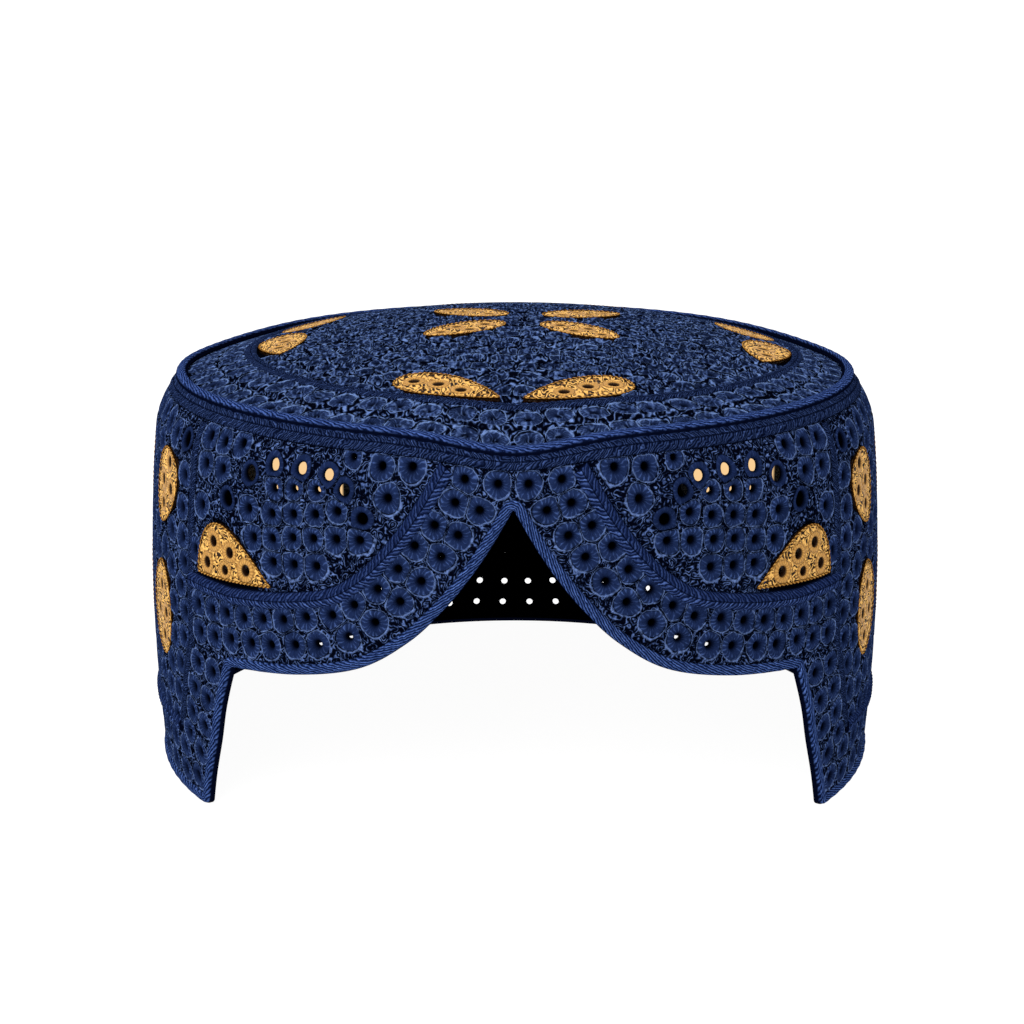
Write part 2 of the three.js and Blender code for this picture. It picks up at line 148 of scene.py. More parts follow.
scallop = smooth(SCALLOP)
other_side = scallop[1:40][::-1] * [-1, 1]
foot = spaced([TAIL[-1], (BACK + 30, 0)], FINE_STEP)
lower_edge = np.concatenate([other_side, scallop, smooth(TAIL)[1:], foot[1:]])

# Cells. Each eyelet fills the part of the cloth that is nearer to it than to its neighbours. A site
# is mirrored in the lines that bound its cloth, so that the cells end on them.
REACH = 9


class Area:
    """A stretch of cloth: its bounding lines, each with whether it is an open edge, and a test."""

    def __init__(self, sides, holds):
        self.sides = sides
        self.holds = holds

    def images(self, places):
        """The places mirrored in the sides near them, whose image each is, and whether that side is
        an open edge."""
        found, owners, opens = [], [], []
        for side, is_open in self.sides:
            mirrors = nearest(places, side)
            images = 2 * mirrors - places
            near = np.linalg.norm(places - mirrors, axis=1) < REACH
            kept = np.flatnonzero(near & ~self.holds(images))
            found.append(images[kept])
            owners.append(kept)
            opens += [is_open] * len(kept)
        return np.concatenate(found), np.concatenate(owners), opens


def clipped(polygon, normal, limit, beyond):
    """The polygon's part on the near side of a line. Its corners are (x, y, what its next side meets)."""
    heights = [x * normal[0] + y * normal[1] - limit for x, y, _ in polygon]
    kept = []
    for k, (x, y, side) in enumerate(polygon):
        after = (k + 1) % len(polygon)
        if heights[k] <= 0:
            kept.append((x, y, side))
        if (heights[k] <= 0) != (heights[after] <= 0):
            share = heights[k] / (heights[k] - heights[after])
            to_x, to_y, _ = polygon[after]
            place = (x + share * (to_x - x), y + share * (to_y - y))
            kept.append((*place, beyond if heights[k] <= 0 else side))
    return kept


def cells(places, weights, area):
    """Each place's cell: its corners, each with whether its next side is an open edge of the cloth."""
    mirrored, owners, opens = area.images(places)
    everything = np.concatenate([places, mirrored])
    all_weights = np.concatenate([weights, weights[owners]])
    is_open = [False] * len(places) + opens
    found = []
    for place, weight in zip(places, weights):
        away = everything - place
        apart = (away ** 2).sum(1)
        polygon = [(-REACH, -REACH, True), (REACH, -REACH, True), (REACH, REACH, True), (-REACH, REACH, True)]
        for k in np.argsort(apart):
            if apart[k] < 1e-9:
                continue
            if apart[k] > (2.2 * max(math.hypot(x, y) for x, y, _ in polygon)) ** 2:
                break
            limit = (apart[k] + weight - all_weights[k]) / 2
            polygon = clipped(polygon, away[k], limit, is_open[k])
        found.append([(x + place[0], y + place[1], side) for x, y, side in polygon])
    return found


def centroid(polygon):
    x, y = np.array([corner[:2] for corner in polygon]).T
    next_x, next_y = np.roll(x, -1), np.roll(y, -1)
    cross = x * next_y - next_x * y
    return np.array([((x + next_x) * cross).sum(), ((y + next_y) * cross).sum()]) / (3 * cross.sum())


def inside(places, outline):
    """Whether each place is inside a closed outline."""
    x, y = places[:, 0, None], places[:, 1, None]
    start, end = outline, np.roll(outline, -1, axis=0)
    crosses = (start[:, 1] > y) != (end[:, 1] > y)
    rise = np.where(end[:, 1] == start[:, 1], 1, end[:, 1] - start[:, 1])
    at = start[:, 0] + (y - start[:, 1]) * (end[:, 0] - start[:, 0]) / rise
    return ((x < at) & crosses).sum(1) % 2 == 1


def filled(fixed, fixed_weights, area, pitch, weight, clear, rounds=9):
    """The fixed places, and evenly spread new ones in the rest of the cloth."""
    corners = np.concatenate([side for side, _ in area.sides])
    low, high = corners.min(0), corners.max(0)
    rows = []
    for row, height in enumerate(np.arange(low[1], high[1], pitch * math.sqrt(3) / 2)):
        start = low[0] + (row % 2) * pitch / 2
        rows += [(across, height) for across in np.arange(start, high[0], pitch)]
    free = np.array(rows)
    free = free[area.holds(free)]
    for side, _ in area.sides:
        free = free[distance(free, side) > clear]
    apart = np.linalg.norm(free[:, None] - fixed, axis=2)
    free = free[(apart > np.sqrt(fixed_weights) + 0.55 * pitch).all(1)]
    weights = np.concatenate([fixed_weights, np.full(len(free), weight)])
    for _ in range(rounds):
        found = cells(np.concatenate([fixed, free]), weights, area)[len(fixed):]
        free = np.array([centroid(polygon) for polygon in found]).reshape(-1, 2)
    return np.concatenate([fixed, free]), weights


# Kinds of eyelet: the radius of the hole in front and behind (a closed one has none behind), of the
# outline thread, and how the relief runs. "course" counts 0 at the hole, 1 on the outline thread and
# 2 at the cell's side; the finish tells large rings and pits from the others by the added mark.
STITCHED = [(0, -0.9), (0.15, -0.35), (0.42, 0.05), (0.7, 0.12), (0.88, -0.2), (1, 0.04), (2, -0.6)]
KINDS = {
    "small": {"hole": 0.8, "under": 0.6, "thread": 3.4, "mark": 0, "courses": STITCHED},
    "clear": {"hole": 0.95, "under": 1.0, "thread": 3.4, "mark": 0, "courses": STITCHED},
    "blind": {"hole": 0.8, "under": 0.02, "thread": 3.4, "mark": 0, "courses": STITCHED},
    "large": {"hole": 1.7, "under": 2.5, "thread": 3.0, "mark": 4, "courses": [
        (0, -0.7), (0.15, -0.1), (0.5, 0.3), (0.85, 0.1), (1, -0.4), (1.5, -0.5), (2, -0.6)]},
    "fan": {"hole": 0.5, "under": 0.02, "thread": 3.5, "mark": 0, "courses": [
        (0, -0.6), (0.2, -0.2), (0.55, 0.08), (0.85, -0.2), (1, 0.05), (2, -0.4)]},
    "ring": {"hole": 1.15, "under": 1.15, "thread": 9, "mark": 0, "courses": [
        (0, -0.5), (0.14, -0.1), (0.45, 0.08), (0.8, 0), (1, -0.1), (2, -0.15)]},
    "pit": {"hole": 0, "under": 0.02, "thread": 9, "mark": 4, "courses": [
        (0, -0.5), (0.5, -0.2), (1, 0), (2, -0.15)]},
}
SIDE_STEP = 1.1
THREAD_MARGIN = 0.12
CLOTH_UNDER = -1.7
STITCH_PITCH = 0.75
UNDER_COURSE = -5


def eyelets(places, weights, kinds, area, generator, wander=0.3, walled_cells=False):
    """The stitched cloth of one area as flat geometry: vertices (across, height, out), quads, and for
    each corner of a quad (stitches counted round the eyelet, course)."""
    vertices, quads, corners = [], [], []
    count = 0
    for place, polygon, kind in zip(places, cells(places, weights, area), kinds):
        shape = KINDS[kind]
        rim, rim_open = [], []
        for k, (x, y, is_open) in enumerate(polygon):
            start, end = np.array([x, y]), np.array(polygon[(k + 1) % len(polygon)][:2])
            steps = max(1, round(float(np.linalg.norm(end - start)) / SIDE_STEP))
            rim += [start + (end - start) * i / steps for i in range(steps)]
            rim_open += [is_open or walled_cells] * steps
        rim = np.array(rim)
        middle = place + generator.uniform(-wander, wander, 2) * (shape["hole"] > 0)
        away = rim - middle
        reach = np.linalg.norm(away, axis=1)
        ray = away / reach[:, None]
        turn = np.unwrap(np.arctan2(away[:, 1], away[:, 0]))
        phases = generator.uniform(0, 2 * math.pi, 2)
        wobble = 1 + 0.05 * np.sin(2 * turn + phases[0]) + 0.05 * np.sin(3 * turn + phases[1])
        thread = min(shape["thread"], 0.5 * reach.min() + 0.5 * reach.mean()) * wobble
        thread = np.minimum(reach - THREAD_MARGIN, thread)
        hole = min(shape["hole"], 0.5 * reach.min())
        under = min(shape["under"], 0.8 * reach.min())
        rings = [(under, CLOTH_UNDER, shape["mark"] - 1)]
        for course, out in shape["courses"]:
            radius = hole + min(course, 1) * (thread - hole) + max(course - 1, 0) * (reach - thread)
            rings.append((radius, out, shape["mark"] + course))
        rings.append((reach, CLOTH_UNDER, shape["mark"] + 2))
        size = len(rim)
        for radius, out, _ in rings:
            flat = middle + ray * np.broadcast_to(radius, size)[:, None]
            vertices.append(np.column_stack([flat, np.full(size, out)]))
        turn = np.append(turn, turn[0] + 2 * math.pi) / (2 * math.pi)
        stitches = max(6, round(2 * math.pi * (hole + 0.6 * (thread.mean() - hole)) / STITCH_PITCH))
        turn = turn * stitches + generator.integers(100)
        last = len(rings) - 1
        pairs = [(k, k + 1, rings[k][2], rings[k + 1][2], np.ones(size, bool)) for k in range(last - 1)]
        pairs.append((last - 1, last, rings[last][2], rings[last][2], np.array(rim_open)))
        pairs.append((last, 0, UNDER_COURSE, UNDER_COURSE, np.ones(size, bool)))
        for low, high, low_course, high_course, walled in pairs:
            a = np.flatnonzero(walled)
            b = (a + 1) % size
            quads.append(count + np.stack([low * size + a, low * size + b, high * size + b, high * size + a], 1))
            near = np.full(len(a), low_course, float)
            far = np.full(len(a), high_course, float)
            corners.append(np.stack([
                np.stack([turn[a], near], 1), np.stack([turn[a + 1], near], 1),
                np.stack([turn[a + 1], far], 1), np.stack([turn[a], far], 1)], axis=1))
        count += size * len(rings)
    return np.concatenate(vertices), np.concatenate(quads), np.concatenate(corners)


def mirrored(part):
    """The left half that goes with a right half."""
    vertices, quads, corners = part
    return vertices * [-1, 1, 1], quads[:, ::-1], corners[:, ::-1]


def joined(parts):
    counts = np.cumsum([0] + [len(part[0]) for part in parts])
    return (
        np.concatenate([part[0] for part in parts]),
        np.concatenate([part[1] + start for part, start in zip(parts, counts)]),
        np.concatenate([part[2] for part in parts]),
    )


def make_piece(name, part, place, finish, slot, *nodes):
    """A Blender object of flat geometry put on the cap, with doubled vertices merged."""
    vertices, quads, corners = part
    mesh = bpy.data.meshes.new(name)
    mesh.from_pydata(place(vertices[:, :2], vertices[:, 2]).tolist(), [], quads.tolist())
    stitches = mesh.uv_layers.new(name="stitches")
    stitches.data.foreach_set("uv", corners.reshape(-1).astype(np.float32))
    work = bmesh.new()
    work.from_mesh(mesh)
    bmesh.ops.remove_doubles(work, verts=work.verts, dist=2e-6)
    bmesh.ops.recalc_face_normals(work, faces=work.faces)
    work.to_mesh(mesh)
    work.free()
    mesh.polygons.foreach_set("use_smooth", np.ones(len(mesh.polygons), bool))
    piece = bpy.data.objects.new(name, mesh)
    bpy.context.scene.collection.objects.link(piece)
    mesh.materials.append(finish)
    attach(piece, "root")
    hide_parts(*nodes)
    return piece


class Shade:
    """A socket of a finish's node tree. Arithmetic on it adds Math nodes."""

    def __init__(self, tree, socket=None):
        self.tree = tree
        self.socket = socket

    def node(self, kind, settings=None, sockets=None, output=0):
        """A new node: its settings are set first, then its sockets get values or links."""
        made = self.tree.nodes.new(kind)
        for key, value in (settings or {}).items():
            if key == "stops":
                ramp = made.color_ramp
                for k, (position, colour) in enumerate(value):
                    stop = ramp.elements[k] if k < 2 else ramp.elements.new(position)
                    stop.position = position
                    stop.color = (*colour, 1)
            else:
                setattr(made, key, value)
        for key, value in (sockets or {}).items():
            if isinstance(value, Shade):
                self.tree.links.new(value.socket, made.inputs[key])
            else:
                made.inputs[key].default_value = value
        return Shade(self.tree, made.outputs[output] if made.outputs else None)

    def math(self, operation, *values, clamp=False):
        settings = {"operation": operation, "use_clamp": clamp}
        return self.node("ShaderNodeMath", settings, dict(enumerate(values)))

    def __add__(self, other):
        return self.math("ADD", self, other)

    def __sub__(self, other):
        return self.math("SUBTRACT", self, other)

    def __rsub__(self, other):
        return self.math("SUBTRACT", other, self)

    def __mul__(self, other):
        return self.math("MULTIPLY", self, other)

    def __truediv__(self, other):
        return self.math("DIVIDE", self, other)

    __radd__ = __add__
    __rmul__ = __mul__

    def bump_at(self, centre, half):
        """1 where the value is centre, falling to 0 at half either side."""
        return self.math("SUBTRACT", 1, self.math("ABSOLUTE", self - centre) / half, clamp=True)

    def above(self, edge, soft):
        """0 below the edge, 1 above it."""
        return self.math("ADD", (self - edge) / soft, 0.5, clamp=True)

    def waves(self):
        """Waves of period 1, from 0 to 1."""
        return self.math("COSINE", self * (2 * math.pi)) * 0.5 + 0.5

    def mixed(self, first, second):
        """Two colours mixed by this value."""
        made = self.tree.nodes.new("ShaderNodeMix")
        made.data_type = "RGBA"
        for socket, value in ((0, self), (6, first), (7, second)):
            if isinstance(value, Shade):
                self.tree.links.new(value.socket, made.inputs[socket])
            else:
                made.inputs[socket].default_value = (*value, 1)
        return Shade(self.tree, made.outputs[2])


def new_finish(name):
    """An empty finish, and the start of its node tree."""
    finish = bpy.data.materials.new(name)
    finish.use_nodes = True
    finish.node_tree.nodes.clear()
    return finish, Shade(finish.node_tree)


def close_finish(start, colour, roughness, height, bump, **fixed):
    """The thread's shader: colour, roughness and relief, and the values that stay the same."""
    normal = start.node("ShaderNodeBump", {}, {"Height": height, "Strength": bump, "Distance": 0.0004})
    sockets = {"Base Color": colour, "Roughness": roughness, "Normal": normal}
    sockets.update({key.replace("_", " "): value for key, value in fixed.items()})
    surface = start.node("ShaderNodeBsdfPrincipled", {}, sockets)
    start.node("ShaderNodeOutputMaterial", {}, {"Surface": surface})


def noise(start, scale, detail=2, depth_scale=1):
    """Uneven patches, longer towards the back where the depth scale is under 1."""
    place = start.node("ShaderNodeTexCoord", output="Object")
    place = start.node("ShaderNodeVectorMath", {"operation": "MULTIPLY"}, {0: place, 1: (1, depth_scale, 1)})
    return start.node("ShaderNodeTexNoise", {}, {"Vector": place, "Scale": scale, "Detail": detail})


def uv_parts(start):
    """The two stitch coordinates of a piece."""
    stitches = start.node("ShaderNodeUVMap", {"uv_map": "stitches"})
    x = start.node("ShaderNodeSeparateXYZ", {}, {"Vector": stitches}, "X")
    y = start.node("ShaderNodeSeparateXYZ", {}, {"Vector": stitches}, "Y")
    return x, y


def eyelet_finish(name, colours, wander, loose, depth_scale=1, curl_scale=420):
    """Satin stitches round each hole, with painted highlights in stripes along the stitches and painted
    shade growing towards the hole; an outline thread that wanders; painted shade in the hole and in the
    gaps between the eyelets, and in these gaps curls of loose thread, which lie on the eyelets too by
    the share loose. The inner face is painted in shade."""
    painted_shade, middle, light, thread, under = colours
    finish, start = new_finish(name)
    turn, marked_course = uv_parts(start)
    fleck = noise(start, 1000, 2, depth_scale)
    patch = noise(start, 330, 2, depth_scale)
    is_large = marked_course.above(2.5, 0.02)
    course = marked_course - is_large * 4
    stripe = (turn * 0.8 + 2 * patch + 0.6 * fleck).waves()
    stitch = stripe.math("POWER", stripe, 4)
    broken = (noise(start, 700, 1, depth_scale)).above(0.47, 0.25)
    # painted highlights in the stitch stripes, and painted shade that darkens the satin towards the hole
    satin = (0.08 + 1.2 * stitch * broken) * (1.8 * fleck) * (0.3 + course.above(0.55, 0.6))
    satin = satin * (1 - 0.7 * is_large)
    ring = satin.mixed(middle, light)
    # painted shade: where this is 0, in the hole and in the gaps past the outline, the colour is the shade colour
    shown = course.above(0.15, 0.3) * (1 - course.above(0.88, 0.06)) * (0.3 + 1.2 * patch)
    outline = (course + (patch - 0.5) * wander).bump_at(1.0, 0.11)
    outline = outline * fleck.above(0.42, 0.25) * (1 - is_large)
    curls = (noise(start, curl_scale, 1, depth_scale) * 8).waves()
    curls = curls.math("POWER", curls, 3) * fleck.above(0.48, 0.2)
    between = course.above(0.96, 0.14)
    shown = shown * (1 - loose * (1 - curls.above(0.2, 0.3)))
    curls = curls * (loose + (1 - loose) * between)
    curl_light = fleck.above(0.6, 0.3).mixed(light, thread)
    colour = shown.mixed(painted_shade, ring)
    colour = curls.mixed(colour, curl_light)
    colour = outline.mixed(colour, thread)
    # painted shade: the inner face takes the near-black inside shade colour
    colour = (1 - marked_course.above(-3, 0.2)).mixed(colour, under)
    height = stitch * shown * 0.5 + outline + curls * 0.6 + fleck * 0.4
    close_finish(start, colour, 0.7, height, 0.8, Specular_IOR_Level=0)
    return finish


# painted shade: near-black blue for the holes, the gaps between eyelets and the ground strips
BLUE_GAP_SHADE = (0.0005, 0.0008, 0.0035)
BLUE_MIDDLE = (0.0062, 0.0128, 0.047)
# painted highlight: the light blue of the stripes along the satin stitches and of the loose curls
BLUE_HIGHLIGHT = (0.042, 0.077, 0.215)
BLUE_THREAD = (0.12, 0.19, 0.42)
# painted shade: the near-black colour of the cloth's inner face, for the shade inside the cap
INSIDE_SHADE = (0.0001, 0.0001, 0.0002)
BLUES = (BLUE_GAP_SHADE, BLUE_MIDDLE, BLUE_HIGHLIGHT, BLUE_THREAD, INSIDE_SHADE)
blue_stitches = eyelet_finish("blue_stitches", BLUES, 0.6, 0)

# The border
# The border follows the whole lower edge, between the braid on that edge and the braid inside it.
# Its two staggered rows of eyelets are open right through. They are at listed sites in front,
# and evenly spaced down the tails and round the back.
EDGE_CLEAR = 1.1
BORDER_WIDTH = 17.4
SEAM_ACROSS = 90.4
UPPER_ROW = [
    (3.4, 91.4), (10.9, 92.2), (13.1, 86.9), (17.7, 81.4), (22.2, 76.3), (26.3, 71.4), (30.6, 66.1),
    (36.9, 62.1), (42.2, 59.1), (48.9, 57.3), (55.5, 55.8), (61.9, 54.5), (68.3, 53.6), (74.4, 53.1),
    (80.2, 52.6), (86.2, 52.6),
]
LOWER_ROW = [
    (7.3, 85.5), (12.1, 79.6), (15.9, 74.6), (20.6, 68.9), (25.8, 63.6), (31.3, 58.8), (38.1, 54.1),
    (45.6, 51.6), (52.3, 50.2), (59.1, 49.1), (65.9, 48.0), (72.8, 47.3), (79.4, 46.4), (85.6, 46.0),
]
BORDER_ROWS = [{"inset": 6.2, "first_height": 37, "pitch": 8}, {"inset": 12.5, "first_height": 38, "pitch": 7.4}]
CLEAR_FROM = 200
SMALL_WEIGHT = 9.0
FILL_PITCH = 6.2

inner = parallel(lower_edge, BORDER_WIDTH)
above_scallop = inner[inner[:, 0] < TAIL[0][0]]
beside_tail = inner[(inner[:, 0] > SEAM_ACROSS) & (inner[:, 0] <= BACK + 3)]
seam_corner = (SEAM_ACROSS, above_scallop[-1, 1])
scallop_top = spaced(np.concatenate([above_scallop, [seam_corner]]), FINE_STEP)
tail_side = spaced(np.concatenate([[seam_corner], beside_tail]), FINE_STEP)
border_line = np.concatenate([scallop_top, tail_side[1:]])
cloth_edge = parallel(lower_edge, EDGE_CLEAR)
cloth_front = cloth_edge[cloth_edge[:, 0] < TAIL[-1][0]]
cloth_foot = np.array([(TAIL[0][0], EDGE_CLEAR), (BACK + 20, EDGE_CLEAR)])
top_line = np.array([(-20, TOP_SEAM), (BACK + 20, TOP_SEAM)])
front_middle = np.array([(0, -10), (0, TOP_SEAM + 10)])
back_middle = np.array([(BACK, -10), (BACK, TOP_SEAM + 10)])
cloth_outline = np.concatenate([lower_edge, [(BACK + 30, TOP_SEAM), (lower_edge[0, 0], TOP_SEAM)]])
border_outline = np.concatenate([lower_edge[lower_edge[:, 0] < BACK + 3], border_line[::-1]])


def row_places(inset, first_height, pitch):
    """Places along the border at one distance from its edge, from the tail to the back middle."""
    line = parallel(lower_edge, inset, 0.25)
    line = line[(line[:, 0] <= BACK) & (line[:, 0] > TAIL[0][0]) & (line[:, 1] < first_height)]
    done = np.concatenate([[0], np.cumsum(np.linalg.norm(np.diff(line, axis=0), axis=1))])
    steps = round(done[-1] / pitch - 0.5)
    at = done[-1] / (steps + 0.5) * np.arange(steps + 1)
    return np.stack([np.interp(at, done, line[:, k]) for k in (0, 1)], axis=1)


def on_cloth(places):
    """Whether each place is on the right half of the band."""
    return inside(places, cloth_outline) & (places[:, 0] > 0) & (places[:, 0] < BACK)


def in_border(places):
    return on_cloth(places) & inside(places, border_outline)


generator = np.random.default_rng(7)
border_area = Area([
    (cloth_front, True), (cloth_foot, True), (border_line, True), (top_line, True),
    (front_middle, False), (back_middle, False),
], in_border)
border_fixed = np.concatenate([UPPER_ROW, LOWER_ROW, *(row_places(**row) for row in BORDER_ROWS)])
border_places, border_weights = filled(
    border_fixed, np.full(len(border_fixed), SMALL_WEIGHT), border_area, FILL_PITCH, SMALL_WEIGHT, 2.6)
kinds = ["clear" if across > CLEAR_FROM else "small" for across, _ in border_fixed]
kinds += ["blind"] * (len(border_places) - len(border_fixed))


def declare_cloth(piece, cloth):
    """Works out the flat area of a piece's plan and keeps nothing of it. The piece is not used."""
    vertices, quads, _ = cloth
    plan = vertices[:, :2] / 1000
    x, y = plan[quads].transpose(2, 0, 1)
    areas = (x * (np.roll(y, -1, axis=1) - np.roll(y, 1, axis=1))).sum(axis=1) / 2
    area = float(areas[areas > 0].sum())


border = eyelets(border_places, border_weights, kinds, border_area, generator)
border = joined([border, mirrored(border)])
border_piece = make_piece("border_cloth", border, on_wall, blue_stitches, "blue_cloth", "band")
declare_cloth(border_piece, border)

# Leaves
# A leaf is worked in gold thread on the same cloth: a few rings round open holes, the ground between
# them filled with tiny knots, and a beaded cord round it. It runs from a sharp tip to a round head.
WALL_LEAVES = [
    {"name": "panel_leaf", "tip": (59.3, 62.5), "head": (86, 60.8), "left": 12.2, "right": 0.4,
     "powers": (1.1, 0.5), "rings": [(0.744, 7.9, 2.5), (0.51, 6.1, 2.5), (0.85, 2.7, 2.5), (0.576, 1.75, 2.1),
                                     (0.3, 2.7, 2.8)]},
    {"name": "side_leaf_upper", "tip": (111.6, 67.1), "head": (102.4, 83.6), "left": 5.8, "right": 9,
     "powers": (0.6, 0.4), "rings": [(0.25, -0.6, 2.3), (0.6, 2.2, 2.4), (0.5, -3.8, 2.5), (0.85, -2.2, 2.5)]},
    {"name": "side_leaf_lower", "tip": (108.8, 33.5), "head": (110.4, 57), "left": 6.6, "right": 9.4,
     "powers": (0.6, 0.6), "rings": [(0.2, 0, 2.4), (0.46, 2.4, 2.4), (0.46, -3.9, 2.6), (0.74, -1, 2.6)]},
    {"name": "back_leaf", "tip": (194, 58), "head": (238, 45), "left": 6.5, "right": 6.5,
     "powers": (0.8, 0.5), "rings": [(0.45, 0.4, 2.6), (0.68, 0, 2.8)]},
]
SIDE_MOTIF_ACROSS = 124
PIT_PITCH = 1.5
PIT_CLEAR = 0.45
PIT_WEIGHT = 0.5
LEAF_STEPS = 40
# faces of a section below this depth are painted in shade
BURIED = -0.8


def leaf_sides(leaf, moved=lambda flat: flat):
    """The left and right outlines of a leaf, from its tip to its head."""
    tip, head = np.array(leaf["tip"], float), np.array(leaf["head"], float)
    run = (head - tip) / np.linalg.norm(head - tip)
    aside = np.array([-run[1], run[0]])
    share = (1 - np.cos(np.linspace(0, math.pi, LEAF_STEPS))) / 2
    tip_power, head_power = leaf["powers"]
    fullest = tip_power / (tip_power + head_power)
    swell = share ** tip_power * (1 - share) ** head_power / (fullest ** tip_power * (1 - fullest) ** head_power)
    spine = tip + share[:, None] * (head - tip)
    left = moved(spine + aside * (leaf["left"] * swell)[:, None])
    right = moved(spine - aside * (leaf["right"] * swell)[:, None])
    rings = [tip + along * (head - tip) + aside * off for along, off, _ in leaf["rings"]]
    return spaced(left, 0.7), spaced(right, 0.7), moved(np.array(rings))


def leaf_cloth(left, right, rings, radii):
    """The gold cloth of a leaf, cut to its outline."""
    outline = np.concatenate([left, right[::-1]])
    area = Area([(left, True), (right, True)], lambda places: inside(places, outline))
    weights = np.array(radii) ** 2
    places, weights = filled(rings, weights, area, PIT_PITCH, PIT_WEIGHT, PIT_CLEAR, 1)
    places[len(rings):] += generator.uniform(-0.22, 0.22, (len(places) - len(rings), 2))
    kinds = ["ring"] * len(rings) + ["pit"] * (len(places) - len(rings))
    return eyelets(places, weights, kinds, area, generator, 0.15)


def short_way(steps):
    """Steps along the wall, taken the short way round."""
    return np.column_stack([(steps[:, 0] + ROUND / 2) % ROUND - ROUND / 2, steps[:, 1]])


def swept(line, section, relief, pitch, closed=False):
    """A braid or cord: a section (side, out) swept along a line, with its plaits raised. For each
    corner of a quad it gives (plaits counted along the line, side share from -1 to 1). Faces buried
    in the cloth get a share of 1, which the finishes paint in shade."""
    if closed:
        before, after = np.roll(line, 1, axis=0), np.roll(line, -1, axis=0)
    else:
        before, after = np.concatenate([line[:1], line[:-1]]), np.concatenate([line[1:], line[-1:]])
    run = short_way(after - before)
    run = run / np.linalg.norm(run, axis=1)[:, None]
    normal = np.stack([-run[:, 1], run[:, 0]], axis=1)
    steps = np.linalg.norm(short_way(np.diff(line, axis=0, append=line[:1])), axis=1)
    along = np.concatenate([[0], np.cumsum(steps)])
    if closed:
        along = along * round(along[-1] / pitch) / along[-1]
    else:
        along = along / pitch
    section = np.array(section, float)
    outward = np.roll(section, 1, axis=0) - np.roll(section, -1, axis=0)
    outward = np.stack([-outward[:, 1], outward[:, 0]], axis=1)
    outward = outward / np.linalg.norm(outward, axis=1)[:, None]
    share = section[:, 0] / np.abs(section[:, 0]).max()
    turn = np.arange(len(section)) / len(section)
    lift = relief(along[:-1, None], share[None], turn[None])
    side = section[:, 0] + lift * outward[:, 0]
    out = section[:, 1] + lift * outward[:, 1]
    flat = line[:, None] + side[..., None] * normal[:, None]
    vertices = np.concatenate([flat, out[..., None]], axis=2).reshape(-1, 3)
    count, wide = len(line), len(section)
    i, k = np.meshgrid(np.arange(count if closed else count - 1), np.arange(wide), indexing="ij")
    i, k = i.ravel(), k.ravel()
    next_i, next_k = (i + 1) % count, (k + 1) % wide
    quads = np.stack([i * wide + k, next_i * wide + k, next_i * wide + next_k, i * wide + next_k], axis=1)
    # painted shade: buried faces get share 1, which the finishes colour with the groove shade
    is_under = (section[k, 1] < BURIED) & (section[next_k, 1] < BURIED)
    near, far = np.where(is_under, 1, share[k]), np.where(is_under, 1, share[next_k])
    corners = np.stack([
        np.stack([along[i], near], 1), np.stack([along[i + 1], near], 1),
        np.stack([along[i + 1], far], 1), np.stack([along[i], far], 1)], axis=1)
    if not closed:
        half = np.arange(wide // 2 - 1)
        cap = np.stack([half, half + 1, wide - 2 - half, wide - 1 - half], axis=1)
        ends = np.concatenate([cap, (count - 1) * wide + cap[:, ::-1]])
        quads = np.concatenate([quads, ends])
        corners = np.concatenate([corners, np.zeros((len(ends), 4, 2))])
    return vertices, quads, corners


def round_section(radius, out, sides):
    turn = 2 * math.pi * np.arange(sides) / sides
    return [(radius * math.sin(angle), out + radius * math.cos(angle)) for angle in turn]


def beads(along, share, turn):
    return 0.07 * np.cos(2 * math.pi * along) * np.ones_like(share)


# Between these distances from the middle the inner face of a back leaf gets a painted glow, for the light behind the
# cap shining through it.
GLOW_FROM = 0.0503
GLOW_TO = 0.0722


